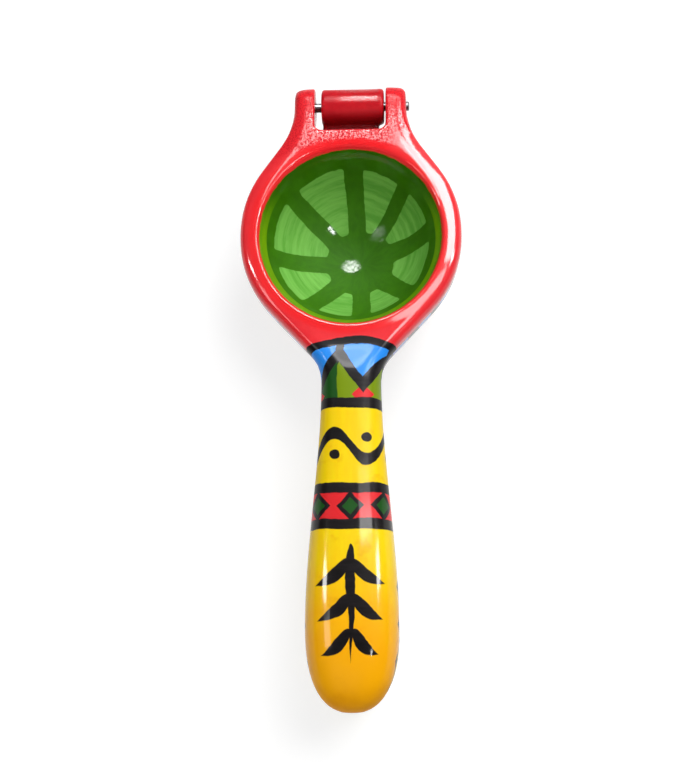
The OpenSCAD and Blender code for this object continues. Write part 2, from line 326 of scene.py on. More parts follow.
def brushed(tree, colour, thin, streaks, amount):
    return useGroup(tree, brushedPaint, {
        "Colour": colour, "Thin": thin, "Streaks": streaks, "Amount": amount,
    })


def speckle(tree, spot):
    return noise(tree, spot, *sandWork["speckle"])


enamelWork = {
    "specular": 0.06, "coatRough": 0.09,    # of the enamel below, and of the clear lacquer on it
    "ragged": (0.8, 2.0, 0.5), "raggedReach": 0.35, "metalFrom": (0.4, 0.6),
    "metallic": 0.6,    # dull with oxide
    "uneven": (0.16, 2.0, 0.5), "unevenHigh": 0.35, "unevenRough": 0.04,
    "peel": (0.9, 1.0, 0.5), "peelHigh": 0.03,
    "grainHigh": 0.8, "grainLeast": 0.02, "reliefHigh": 0.2, "bumpDeep": 0.00011, "bumpShare": 0.9,
}


def enamelled(tree, shader, spot, colour, relief, grain, rough, coat):
    # Enamel under clear lacquer outside, bare casting where the attribute says so
    work = enamelWork
    glints = speckle(tree, spot).ease(*sandWork["tops"])    # lacquer on top of the grains only
    coat = coat * blendValue(tree, grain, 1.0, glints)
    bare = Wire(tree, put(tree, "ShaderNodeAttribute", attribute_name="bareMetal").outputs["Fac"])
    ragged = noise(tree, spot, *work["ragged"]) - 0.5
    metal = (bare + ragged * work["raggedReach"]).ease(*work["metalFrom"])
    casting = useGroup(tree, bareCasting, {"Place": spot})
    skin = useGroup(tree, sandCast, {"Place": spot})
    uneven = noise(tree, spot, *work["uneven"])
    peel = noise(tree, spot, *work["peel"])
    rough = rough + uneven * work["unevenRough"]
    rough = blendValue(tree, metal, rough, Wire(tree, casting.outputs["Roughness"]))
    grainHigh = grain.high(metal) * work["grainHigh"] + work["grainLeast"]
    grains = Wire(tree, skin.outputs["Height"]) * grainHigh
    height = grains + relief * work["reliefHigh"] + uneven * work["unevenHigh"] + peel * work["peelHigh"]
    bump = put(tree, "ShaderNodeBump", {
        "Height": height, "Distance": work["bumpDeep"], "Strength": work["bumpShare"],
    })
    feed(tree, shader.inputs["Base Color"], blendColour(tree, metal, colour, casting.outputs["Colour"]))
    feed(tree, shader.inputs["Metallic"], metal * work["metallic"])
    feed(tree, shader.inputs["Roughness"], rough)
    feed(tree, shader.inputs["Coat Weight"], coat * (1.0 - metal))
    feed(tree, shader.inputs["Normal"], bump.outputs["Normal"])
    shader.inputs["Coat Roughness"].default_value = work["coatRough"]
    shader.inputs["Specular IOR Level"].default_value = work["specular"]


# Castings: an even skin over the CAD shape, with the cast edges softened

castingForm = {
    "weld": 1e-5, "voxel": 0.0006, "sharpAngle": 0.6, "sampleStep": 0.0004,
    "smoothing": 0.5, "edgePasses": 4, "facePasses": 32, "edgeKeep": (0.0006, 0.0028),
}


def applied(piece):
    graph = bpy.context.evaluated_depsgraph_get()
    mesh = bpy.data.meshes.new_from_object(piece.evaluated_get(graph))
    old = piece.data
    piece.modifiers.clear()
    piece.data = mesh
    bpy.data.meshes.remove(old)


def mergedCopy(node, name):
    # The CAD mesh as one closed skin, and points along its sharp edges
    form = castingForm
    bm = bmesh.new()
    bm.from_mesh(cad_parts[node].data)
    bmesh.ops.remove_doubles(bm, verts=bm.verts, dist=form["weld"])
    crests = []
    for edge in bm.edges:
        if edge.is_manifold and edge.calc_face_angle() > form["sharpAngle"]:
            a, b = edge.verts[0].co, edge.verts[1].co
            count = max(1, int((b - a).length / form["sampleStep"]))
            crests += [a.lerp(b, i / count) for i in range(count + 1)]
    mesh = bpy.data.meshes.new(name)
    bm.to_mesh(mesh)
    bm.free()
    mesh.materials.clear()
    piece = bpy.data.objects.new(name, mesh)
    scene.collection.objects.link(piece)
    return piece, crests


def awayFrom(crests, piece):
    tree = KDTree(len(crests))
    for i, point in enumerate(crests):
        tree.insert(point, i)
    tree.balance()
    return np.array([tree.find(v.co)[2] for v in piece.data.vertices])


def casting(node, name, body, slotName):
    form = castingForm
    piece, crests = mergedCopy(node, name)
    skin = piece.modifiers.new("evenSkin", "REMESH")
    skin.mode = "VOXEL"
    skin.voxel_size = form["voxel"]
    skin.adaptivity = 0.0
    applied(piece)

    share = ramp(awayFrom(crests, piece), *form["edgeKeep"])
    group = piece.vertex_groups.new(name="openFaces")
    for i, weight in enumerate(share):
        if weight > 0:
            group.add([i], float(weight), "REPLACE")
    for label, passes, limit in (("edges", "edgePasses", ""), ("faces", "facePasses", "openFaces")):
        smooth = piece.modifiers.new(label, "SMOOTH")
        smooth.factor = form["smoothing"]
        smooth.iterations = form[passes]
        smooth.vertex_group = limit
    applied(piece)
    piece.vertex_groups.clear()
    piece.data.shade_smooth()
    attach(piece, body)
    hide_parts(node)
    print(name, len(piece.data.polygons), "faces,", len(crests), "edge points")
    return piece


def vertexTable(piece):
    count = len(piece.data.vertices)
    places = np.zeros(count * 3)
    normals = np.zeros(count * 3)
    piece.data.vertices.foreach_get("co", places)
    piece.data.vertex_normals.foreach_get("vector", normals)
    return places.reshape(-1, 3) * 1000, normals.reshape(-1, 3)


def keepBare(piece, share):
    layer = piece.data.attributes.new("bareMetal", "FLOAT", "POINT")
    layer.data.foreach_set("value", np.clip(share, 0, 1).astype(np.float32))


def ramp(value, low, high):
    return np.clip((value - low) / (high - low), 0, 1)


# The rim's face slopes outwards from a narrow lip, and the shoulders fall away to their edge
crownForm = {
    "lip": 32.1, "faceTo": 35.5, "lift": 0.072, "liftAbove": (4.0, 5.8), "liftTo": (27.0, 12.0),
    "top": 33.75, "edgeWide": 6.0, "edgeSlope": 0.55, "edgeRound": 1.6,
    "from": (2.0, 16.0), "to": (48.0, 37.0),
    "sideways": 0.35, "sideFrom": -20.0, "sideAbove": 0.5, "faceAbove": 3.0, "facing": 0.1,
}


def crownRim(piece):
    form = crownForm
    places, normals = vertexTable(piece)
    x, y, z = places.T
    above = z - partZ
    reach = np.clip(form["faceTo"] - np.maximum(np.hypot(x, y), form["lip"]), 0, None)
    lift = form["lift"] * reach ** 2 * ramp(above, *form["liftAbove"]) * ramp(y, *form["liftTo"])
    steep = np.abs(normals[:, 2]) < form["sideways"]
    outer = normals[:, 0] * np.sign(x) > form["sideways"]
    side = steep & outer & (above > form["sideAbove"]) & (y > form["sideFrom"])
    tree = KDTree(int(side.sum()))
    for i in np.nonzero(side)[0]:
        tree.insert((x[i], y[i], 0), int(i))
    tree.balance()
    wide = form["edgeWide"]
    bend = form["edgeSlope"] / (2 * wide - form["edgeRound"])
    onFace = (above > form["faceAbove"]) & (y > form["from"][0]) & (normals[:, 2] > form["facing"])
    drop = np.zeros(len(z))
    for i in np.nonzero(onFace)[0]:
        inward = wide - tree.find((x[i], y[i], 0))[2]
        if inward > 0:
            drop[i] = max(0.0, z[i] - form["top"] + bend * inward ** 2)
    drop *= ramp(y, *form["from"]) * ramp(y, *form["to"])
    places[:, 2] += lift - drop
    piece.data.vertices.foreach_set("co", (places / 1000).ravel())
    piece.data.update()


# Faces that close on each other, the hollows and the side towards the fruit stay bare
bareForm = {
    "neck": -47.0, "handleMiddle": 3.0, "handleEdge": 0.8,
    "upwards": (0.1, 0.3), "flanks": (-0.75, -0.55), "flanksAbove": (-0.2, 0.6),
    "earsFrom": 38.0, "earsBeside": 12.0,
    "cupMiddle": 9.0, "cupEdge": 1.0, "tongueFrom": 37.0,
}


def barePress(piece):
    form = bareForm
    places, normals = vertexTable(piece)
    x, y, z = places.T
    above = z - partZ
    outward = normals[:, 0] * x + normals[:, 2] * (above + form["handleMiddle"])
    handle = ramp(outward, form["handleEdge"], -form["handleEdge"])
    flanks = ramp(normals[:, 2], *form["flanks"]) * ramp(above, *form["flanksAbove"])
    painted = np.maximum(ramp(normals[:, 2], *form["upwards"]), flanks)
    ears = (y > form["earsFrom"]) & (np.abs(x) > form["earsBeside"])
    ring = np.where(ears, 0, 1 - painted)
    keepBare(piece, np.where(y < form["neck"], handle, ring))


def bareCup(piece):
    form = bareForm
    places, normals = vertexTable(piece)
    x, y, z = places.T
    above = z - partZ
    droop = np.clip(-lowerHandle["bendAt"] - y, 0, None) * lowerHandle["slope"]
    outward = normals[:, 0] * x + normals[:, 2] * (above - form["handleMiddle"] + droop)
    handle = ramp(outward, form["handleEdge"], -form["handleEdge"])
    outward = normals[:, 0] * x + normals[:, 1] * y + normals[:, 2] * (above - form["cupMiddle"])
    ring = np.where(y > form["tongueFrom"], 0, ramp(outward, form["cupEdge"], -form["cupEdge"]))
    keepBare(piece, np.where(y < form["neck"], handle, ring))


pressCasting = casting("press_lever", "pressCasting", "press_side", "press_paint")
cupCasting = casting("cup_lever", "cupCasting", "cup_side", "cup_paint")
crownRim(pressCasting)
barePress(pressCasting)
bareCup(cupCasting)
print("castings done")


# Upper casting: red rim, green slice in the bowl, painted handle

slicePaint = {
    "parts": 8, "turn": -3.0, "hubX": 2.4, "hubY": -3.9,
    "lean": 13.0, "leanFrom": (0.0, 60.0), "leanTo": (80.0, 130.0),    # the right spokes stand closer
    "spokeHalf": 3.2, "centre": 12.0, "rimEdge": 26.6, "corner": 1.6, "mouth": 31.1, "lip": 29.0,
    "dark": tone(52, 108, 0), "darkThin": tone(60, 122, 0),
    "darkStreaks": (0.35, 7.0), "darkAmount": 0.8,
    "flesh": tone(94, 164, 58), "fleshThin": tone(132, 200, 90),
    "fleshStreaks": (0.8, 1.6), "fleshAmount": 0.75,
    # painted light: the lip's front half is a paler green, where it faces the key lamp
    "litLipTone": tone(118, 166, 0), "lipFrom": (-18.0, 0.0), "lipShare": 0.8,
    "shade": (0.45, 0.45, 0.3, 1.0), "shadeFrom": (-14.0, 22.0), "shadeShare": 0.4,    # painted shade: darker at the back, where the bowl wall faces away from the key lamp
    "edgeShake": (0.35, 2.0), "edgeReach": 0.5,
}
rimPaint = {
    "red": tone(244, 46, 54), "redThin": tone(228, 38, 48), "redStreaks": 0.2, "redAmount": 0.6,
    "mouthRed": tone(250, 38, 44), "mouthBand": 34.6, "mouthSoft": (-1.2, 0.8),
    "grainFrom": (25.0, 33.0), "grainCloud": (0.12, 2.0), "grainReach": 10.0,
    "clearFrom": 10.0, "clearRise": 0.8,    # the right shoulder is smooth
    # painted shade in the grain's pits
    "pitShadeRed": tone(186, 20, 34), "pits": 0.55,
}
handlePaint = {
    "yellow": tone(250, 216, 0), "yellowThin": tone(250, 204, 2), "yellowAmount": 0.8,
    "alongStreaks": (0.1, 0.5, 3.0), "acrossStreaks": (0.9, 0.16, 0.0),
    "orange": tone(250, 174, 0), "orangeFrom": (104.0, 142.0), "orangeReach": 24.0,
    "tipBrown": tone(224, 146, 0), "tipFrom": (149.0, 162.0), "tipReach": 10.0,
    "smudge": (0.11, 3.0, 0.6), "stains": (0.6, 0.72), "stainShare": 0.3,
    "black": tone(16, 13, 15), "blackThin": tone(30, 26, 28), "blackAmount": 0.7,
    "blue": tone(44, 146, 246), "darkGreen": tone(24, 80, 22), "olive": tone(122, 148, 6),
    "red": tone(226, 38, 44),
    "half": 10.0, "halfGrows": 5.0, "growsFrom": (53.0, 133.0), "crownLow": 0.5, "line": 3.4,
    "collarTop": 36.0, "collarBow": 70.0, "collarEnd": 57.6,
    "tooth": 8.4, "toothHigh": 11.5, "toothFrom": 5.6, "toothLine": 1.7,
    "toothSlant": 0.6, "toothPick": 4.0,
    "seed": 3.4, "seedSlant": 0.9, "seedUp": 1.0, "rayFrom": 1.0, "rayLong": 9.0, "rayHalf": 1.5,
    "waveAt": 74.0, "waveHigh": 4.6, "waveLong": 21.0, "waveHalf": 1.7, "waveSlant": 0.82,
    "dot": 1.7, "dotHigh": 0.6,
    "bandFrom": 88.0, "bandTo": 100.0, "diamond": 3.6, "diamondStep": 11.0, "diamondSlant": 0.9,
    "diamondLine": 0.65, "diamondLineSlant": 0.7,
    "sprigFrom": 106.5, "sprigTo": 145.0, "stemHalf": 1.6, "leaves": 3, "leafFrom": 6.0, "leafStep": 11.5,
    "leafLong": 11.5, "leafLess": 0.8, "leafHalf": 2.1, "leafRise": 0.95,
    "leafBow": 0.028, "leafSlant": 0.75, "leafGap": 0.2,
    "sideFrom": 19.0, "sideStep": 12.0, "sideEnd": 152.0, "sideHigh": 2.6, "sideLine": 1.1,
}
pressLacquer = {
    "weight": 0.85, "handleLess": 0.35, "neckDull": (100.0, 88.0), "neckLess": 0.65,
    "earDull": (43.5, 47.5), "earLess": 0.85,
    "worn": (138.0, 156.0), "wornReach": 8.0, "wornLess": 0.9,    # the hand has dulled the tip
    "bowlFrom": 28.0, "bowlSoft": 3.0, "bowlRelief": 0.5,
    # Drops at the bottom of the bowl: x, y, fading from this radius to that one, weight
    "drops": [(-0.6, -5.2, 4.4, 1.2, 1.0), (-7.5, 8.2, 2.4, 1.4, 1.0), (8.6, 7.6, 4.6, 0.0, 0.5)],
    "beads": 1.1, "beadRange": (0.9, 0.4), "beadShare": 0.7,
    "rough": 0.4, "bowlRough": 0.25, "wornRough": 0.1, "grainRough": 0.17,
}


def brushStroke(distance, along, reach, half):
    # A stroke that swells and runs out to a point, as one press of a round brush leaves it
    share = (along / reach).high(0.0).low(1.0)
    swell = (share.calc("POWER", 0.55) * math.pi).sin().high(0.0) * half
    return (swell - distance).low(along).low(reach - along)


def paintBowl(tree, x, y, z, radius, rawRadius):
    # A citrus slice, with its hub a little off the centre
    cut = slicePaint
    hubX = x - cut["hubX"]
    hubY = y - cut["hubY"]
    hubRadius = span(hubX, hubY)
    angle = hubX.turn(hubY)
    fromA, toA = (math.radians(a) for a in cut["leanFrom"])
    fromB, toB = (math.radians(a) for a in cut["leanTo"])
    lean = angle.ease(fromA, toA) * (1.0 - angle.ease(fromB, toB)) * math.radians(cut["lean"])
    step = math.pi / cut["parts"]
    beside = (angle + lean - math.radians(cut["turn"]) + 2 * math.pi).fold(step).sin() * hubRadius
    flesh = (beside - cut["spokeHalf"]).softLow(hubRadius - cut["centre"], cut["corner"])
    flesh = flesh.softLow(cut["rimEdge"] - radius, cut["corner"])
    inwards, around = cut["fleshStreaks"]
    rings = joined(tree, radius * inwards, angle * around, z * inwards)
    inwards, around = cut["darkStreaks"]
    spokes = joined(tree, radius * inwards, angle * around, 0.0)
    dark = brushed(tree, cut["dark"], cut["darkThin"], spokes, cut["darkAmount"])
    pale = brushed(tree, cut["flesh"], cut["fleshThin"], rings, cut["fleshAmount"])
    bowl = blendColour(tree, stroke(flesh), dark.outputs["Colour"], pale.outputs["Colour"])
    # Painted shade: the back half of the bowl is darkened, where its wall faces away from the key lamp
    shaded = y.ease(*cut["shadeFrom"]) * cut["shadeShare"]
    bowl = blendColour(tree, shaded, bowl, cut["shade"], "MULTIPLY")
    # Painted light: a paler green on the lip's front half, which faces the key lamp
    lipLight = (y * -1.0).ease(*cut["lipFrom"]) * cut["lipShare"]
    bowl = blendColour(tree, stroke(rawRadius - cut["lip"]) * lipLight, bowl, cut["litLipTone"])
    return bowl, Wire(tree, pale.outputs["Height"])


def paintRim(tree, spot, rawX, rawY, radius):
    # Red all round, with painted shade in the grain's pits and a smooth band along the mouth
    rim = rimPaint
    streaks = scaled(tree, spot, rim["redStreaks"])
    red = brushed(tree, rim["red"], rim["redThin"], streaks, rim["redAmount"])
    nearMouth = (rim["mouthBand"] - radius).ease(*rim["mouthSoft"])
    colour = blendColour(tree, nearMouth, red.outputs["Colour"], rim["mouthRed"])
    edgeY = rawY - (rawX - rim["clearFrom"]).high(0.0) * rim["clearRise"]
    grain = smeared(edgeY, noise(tree, spot, *rim["grainCloud"]), rim["grainReach"]).ease(*rim["grainFrom"])
    # Painted shade: darker red in the grain's hollows, opposite the spots where the lacquer glints
    pits = speckle(tree, spot).ease(*sandWork["shadedHollows"]) * grain * (1.0 - nearMouth)
    return blendColour(tree, pits * rim["pits"], colour, rim["pitShadeRed"]), grain


def paintCollar(tree, field, past, q, v):
    # Triangles round the neck
    art = handlePaint
    tooth = art["tooth"]
    line = art["line"]
    place = (v + tooth / 2 + tooth * 8).fold(tooth)
    fromTeeth = past - place * (art["toothHigh"] / tooth) - art["toothFrom"]
    pick = (v * (math.pi / (2 * tooth)) + math.pi / 4).sin()
    lower = blendColour(tree, stroke(pick * art["toothPick"]), art["darkGreen"], art["olive"])
    fromSeed = (q - art["collarEnd"] + art["seedUp"]).abs()
    seed = art["seed"] - (place - tooth).abs() * art["seedSlant"] - fromSeed
    lower = blendColour(tree, stroke(seed), lower, art["red"])
    collar = blendColour(tree, stroke(fromTeeth), art["blue"], lower)
    lines = art["toothLine"] - fromTeeth.abs() * art["toothSlant"]
    lines = lines.high(line * 0.8 - past)
    lines = lines.high(line * 0.5 - (q - art["collarEnd"] - line * 0.5).abs())
    lines = lines.high(brushStroke(place, past - art["rayFrom"], art["rayLong"], art["rayHalf"]))
    return blendColour(tree, stroke(art["collarEnd"] + line - q), field, collar), lines


def waveLines(q, v):
    # A wave round the handle with a dot in each bend
    art = handlePaint
    wavelength = art["waveLong"]
    phase = v * (2 * math.pi / wavelength)
    lines = art["waveHalf"] - (q - art["waveAt"] - phase.sin() * art["waveHigh"]).abs() * art["waveSlant"]
    for side in (-1, 1):
        dotV = (v + side * wavelength / 4 + wavelength * 4).fold(wavelength / 2)
        dotQ = q - art["waveAt"] - side * art["waveHigh"] * art["dotHigh"]
        lines = lines.high(art["dot"] - span(dotV, dotQ))
    return lines


def paintBand(tree, field, q, v):
    # Band of diamonds
    art = handlePaint
    step = art["diamondStep"]
    reach = (art["bandTo"] - art["bandFrom"]) / 2
    fromBand = (q - (art["bandFrom"] + art["bandTo"]) / 2).abs()
    facet = art["diamond"] - (v + step * 4).fold(step / 2) - fromBand * art["diamondSlant"]
    band = blendColour(tree, stroke(facet), art["red"], art["darkGreen"])
    outlines = (art["diamondLine"] - facet.abs() * art["diamondLineSlant"]).low(reach - fromBand)
    lines = outlines.high(art["line"] / 2 - (fromBand - reach).abs())
    return blendColour(tree, stroke(reach - fromBand), field, band), lines


def sprigLines(q, v):
    # A stem with pairs of leaves on the lower field
    art = handlePaint
    aside = v.abs()
    lines = brushStroke(aside, q - art["sprigFrom"], art["sprigTo"] - art["sprigFrom"], art["stemHalf"])
    for i in range(art["leaves"]):
        root = q - art["sprigFrom"] - art["leafFrom"] - i * art["leafStep"]
        bow = root - aside * art["leafRise"] + aside * aside * art["leafBow"]
        longest = art["leafLong"] - art["leafLess"] * i
        leaf = brushStroke(bow.abs() * art["leafSlant"], aside - art["leafGap"], longest, art["leafHalf"])
        lines = lines.high(leaf)
    return lines


def paintFringe(tree, field, q, v):
    # Green scallops along the lower edges, on the yellow only
    art = handlePaint
    lap = (q * (math.pi / art["sideStep"])).sin().abs() * art["sideHigh"]
    fringe = v.abs() - art["sideFrom"] - lap
    fringe = fringe.low((q - art["bandTo"]).high(art["bandFrom"] - q))
    fringe = fringe.low(q - art["collarEnd"] - art["line"]).low(art["sideEnd"] - q)
    return blendColour(tree, stroke(fringe), field, art["darkGreen"]), art["sideLine"] - fringe.abs()


def paintHandle(tree, x, z, q, past, smudge):
    # q runs from the rim to the tip, v round the crown
    art = handlePaint
    half = q.ease(*art["growsFrom"]) * art["halfGrows"] + art["half"]
    v = x.turn(z - partZ + art["crownLow"]) * half
    along = streaked(tree, q, v, art["alongStreaks"])
    across = streaked(tree, q, v, art["acrossStreaks"])
    yellow = brushed(tree, art["yellow"], art["yellowThin"], along, art["yellowAmount"])
    warm = smeared(q, smudge, art["orangeReach"]).ease(*art["orangeFrom"])
    field = blendColour(tree, warm, yellow.outputs["Colour"], art["orange"])
    atTip = smeared(q, smudge, art["tipReach"]).ease(*art["tipFrom"])
    field = blendColour(tree, atTip, field, art["tipBrown"])
    field = blendColour(tree, smudge.ease(*art["stains"]) * art["stainShare"], field, art["tipBrown"])
    field, lines = paintCollar(tree, field, past, q, v)
    field, bandLines = paintBand(tree, field, q, v)
    field, fringeLines = paintFringe(tree, field, q, v)
    for more in (waveLines(q, v), bandLines, sprigLines(q, v), fringeLines):
        lines = lines.high(more)
    ink = stroke(lines)
    black = brushed(tree, art["black"], art["blackThin"], across, art["blackAmount"])
    return blendColour(tree, ink, field, black.outputs["Colour"]), ink


def pressEnamel():
    material, tree, shader, spot = newMaterial("pressEnamel")
    rawX, rawY = axes(tree, spot)[:2]
    hand = useGroup(tree, handPainted, {"Place": spot})
    x, y, z = axes(tree, hand.outputs["Place"])
    radius = span(x, y)
    rawRadius = span(rawX, rawY)
    q = y * -1.0
    past = q - x * x / handlePaint["collarBow"] - handlePaint["collarTop"]
    onHandle = stroke(past)
    smudge = noise(tree, spot, *handlePaint["smudge"])
    edgeCloud = noise(tree, spot, *slicePaint["edgeShake"])
    inBowl = stroke(smeared(slicePaint["mouth"] - rawRadius, edgeCloud, slicePaint["edgeReach"]))

    bowl, bowlRelief = paintBowl(tree, x, y, z, radius, rawRadius)
    red, grain = paintRim(tree, spot, rawX, rawY, radius)
    field, ink = paintHandle(tree, x, z, q, past, smudge)
    colour = blendColour(tree, inBowl, red, bowl)
    colour = blendColour(tree, onHandle, colour, field)

    # Lacquer, with less of it where hands and fruit have been
    work = pressLacquer
    deep = (work["bowlFrom"] - rawRadius).ease(0.0, work["bowlSoft"]) * inBowl
    worn = smeared(q, smudge, work["wornReach"]).ease(*work["worn"])
    coat = (1.0 - deep) * (1.0 - worn * work["wornLess"]) * (work["weight"] - onHandle * work["handleLess"])
    coat = coat * (1.0 - rawY.ease(*work["earDull"]) * work["earLess"])
    coat = coat * (1.0 - onHandle * q.ease(*work["neckDull"]) * work["neckLess"])
    beads = put(tree, "ShaderNodeTexVoronoi", {"Vector": spot, "Scale": work["beads"]})
    beaded = Wire(tree, beads.outputs["Distance"]).ease(*work["beadRange"])
    beaded = beaded * work["beadShare"] + (1 - work["beadShare"])
    for dropX, dropY, outer, inner, weight in work["drops"]:
        drop = span(rawX - dropX, rawY - dropY).ease(outer, inner)
        coat = coat.high(drop * beaded * inBowl * weight)
    smooth = deep * work["bowlRough"] + worn * work["wornRough"] + work["rough"]
    rough = blendValue(tree, grain, smooth, work["grainRough"])
    relief = ink * onHandle + bowlRelief * work["bowlRelief"] * deep
    enamelled(tree, shader, spot, colour, relief, grain, rough, coat)
    return material


# Lower casting: red tongue and barrel, blue rim, warm cup, yellow handle

cupPaint = {
    "blue": tone(138, 156, 222), "blueThin": tone(160, 174, 230), "blueTo": 17.0, "blueLine": 1.1,
    "warm": tone(246, 176, 40), "warmThin": tone(238, 156, 26), "swirl": (0.8, 2.0), "amount": 0.8,
    "red": tone(208, 28, 38), "redThin": tone(184, 18, 32),
    "redStreaks": 0.25, "redAmount": 0.7, "redFrom": 34.0,
    # painted shade low on the barrel
    "shadeMaroon": tone(118, 8, 16), "maroonTo": 46.2, "maroonSoft": 3.6,
    "yellow": tone(250, 214, 0), "yellowThin": tone(250, 196, 8),
    "green": tone(30, 92, 32), "black": tone(18, 15, 17),
    "dashRound": 37.0, "dashStep": 11.0, "dashShift": 400.0, "dashHalf": 2.4, "dashFrom": 34.6,
    "petalHigh": 12.0, "petals": 12, "petalHalf": 3.2, "petalLong": 4.6, "petalLine": 0.8, "petalPast": 0.6,
    "footRing": 13.6, "footHalf": 0.9, "handleHalf": 12.0, "crownLow": 0.5, "alongStreaks": (0.1, 0.5, 5.0),
    "collar": 54.0, "collarLine": 1.6, "barStep": 17.0, "barHalf": 1.6, "barSway": 2.4, "barBends": 0.35,
    "grainFrom": (34.0, 40.0), "grainCloud": (0.12, 2.0), "grainReach": 8.0, "grainShare": 0.7,
    "rough": 0.4, "grainSmooth": 0.2, "coat": 0.9,
    "shineFrom": (-6.0, 1.0), "shineTo": (10.4, 8.6), "shine": 0.85,    # the barrel shines on one side only
}


def cupLines(z, radius, angle):
    # Lines on the rim and the cup, and the distance into a petal
    art = cupPaint
    onRim = z - art["blueTo"]
    fromRing = (z - art["petalHigh"]).abs()
    beside = (angle + 2 * math.pi).fold(math.pi / art["petals"]) * radius
    petals = art["petalHalf"] * (1.0 - fromRing / art["petalLong"]) - beside
    lines = (art["petalLine"] - petals.abs()).low(art["petalLong"] - fromRing + art["petalPast"])
    lines = lines.high(art["blueLine"] - onRim.abs())
    dash = (angle * art["dashRound"] + art["dashShift"]).fold(art["dashStep"] / 2)
    lines = lines.high((art["dashHalf"] - dash).low(radius - art["dashFrom"]))
    lines = lines.high(art["footHalf"] - (radius - art["footRing"]).abs())
    return lines, petals, onRim


def cupEnamel():
    material, tree, shader, spot = newMaterial("cupEnamel")
    rawX, rawY = axes(tree, spot)[:2]
    hand = useGroup(tree, handPainted, {"Place": spot})
    x, y, z = axes(tree, hand.outputs["Place"])
    art = cupPaint
    radius = span(x, y)
    angle = x.turn(y)
    q = y * -1.0

    inwards, around = art["swirl"]
    swirl = joined(tree, radius * inwards, angle * around, z * inwards)
    blue = brushed(tree, art["blue"], art["blueThin"], swirl, art["amount"])
    warm = brushed(tree, art["warm"], art["warmThin"], swirl, art["amount"])
    lines, petals, onRim = cupLines(z, radius, angle)
    colour = blendColour(tree, stroke(petals), warm.outputs["Colour"], art["green"])
    colour = blendColour(tree, stroke(onRim), colour, blue.outputs["Colour"])

    # Handle
    droop = (q - lowerHandle["bendAt"]).high(0.0) * lowerHandle["slope"]
    v = x.turn((z - partZ + droop - art["crownLow"]) * -1.0) * art["handleHalf"]
    along = streaked(tree, q, v, art["alongStreaks"])
    yellow = brushed(tree, art["yellow"], art["yellowThin"], along, art["amount"])
    inField = q - art["collar"]
    sway = (v * art["barBends"]).sin() * art["barSway"]
    bars = art["barHalf"] - (q + sway).fold(art["barStep"] / 2)
    colour = blendColour(tree, stroke(inField), colour, yellow.outputs["Colour"])
    lines = blendValue(tree, stroke(inField), lines, bars).high(art["collarLine"] - inField.abs())
    ink = stroke(lines.low(art["redFrom"] - y))
    colour = blendColour(tree, ink, colour, art["black"])

    # Tongue and barrel, with painted shade on the barrel's lower front
    streaks = scaled(tree, spot, art["redStreaks"])
    red = brushed(tree, art["red"], art["redThin"], streaks, art["redAmount"])
    # Painted shade: the red turns maroon towards the barrel's lower front, away from the key lamp, and over
    # the tongue
    shade = (art["maroonTo"] - rawY).ease(0.0, art["maroonSoft"])
    barrel = blendColour(tree, shade, red.outputs["Colour"], art["shadeMaroon"])
    onTongue = stroke(y - art["redFrom"])
    colour = blendColour(tree, onTongue, colour, barrel)
    grain = smeared(rawY, noise(tree, spot, *art["grainCloud"]), art["grainReach"])
    grain = grain.ease(*art["grainFrom"]) * art["grainShare"]
    shine = rawX.ease(*art["shineFrom"]) * rawX.ease(*art["shineTo"]) * art["shine"]
    coat = blendValue(tree, onTongue, art["coat"], shine)
    enamelled(tree, shader, spot, colour, ink, grain, art["rough"] - grain * art["grainSmooth"], coat)
    return material


# Pin: drawn steel with a few dark stains

pinWork = {
    "steel": tone(120, 120, 122), "stained": tone(74, 68, 64),
    "stains": (0.5, 3.0, 0.6), "stainRange": (0.45, 0.7),
    "ringsAlong": 6.0, "ringsRound": 0.6, "rings": (1.0, 3.0, 0.6),
    "rough": 0.2, "ringRough": 0.25, "stainRough": 0.2, "bumpDeep": 0.00003, "bumpShare": 0.6,
}


def pinSteel():
    material, tree, shader, spot = newMaterial("pinSteel")
    work = pinWork
    x, y, z = axes(tree, spot)
    turned = joined(tree, x * work["ringsAlong"], y * work["ringsRound"], z * work["ringsRound"])
    rings = noise(tree, turned, *work["rings"])
    stain = noise(tree, spot, *work["stains"]).ease(*work["stainRange"])
    feed(tree, shader.inputs["Base Color"], blendColour(tree, stain, work["steel"], work["stained"]))
    shader.inputs["Metallic"].default_value = 1.0
    rough = rings * work["ringRough"] + stain * work["stainRough"] + work["rough"]
    feed(tree, shader.inputs["Roughness"], rough)
    bump = put(tree, "ShaderNodeBump", {
        "Height": rings, "Distance": work["bumpDeep"], "Strength": work["bumpShare"],
    })
    feed(tree, shader.inputs["Normal"], bump.outputs["Normal"])
    return material


pressCasting.data.materials.append(pressEnamel())
cupCasting.data.materials.append(cupEnamel())
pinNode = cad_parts["hinge_pin"]
pinNode.data.materials.clear()
pinNode.data.materials.append(pinSteel())
print("paint done")


# Floor, backdrop and lamps

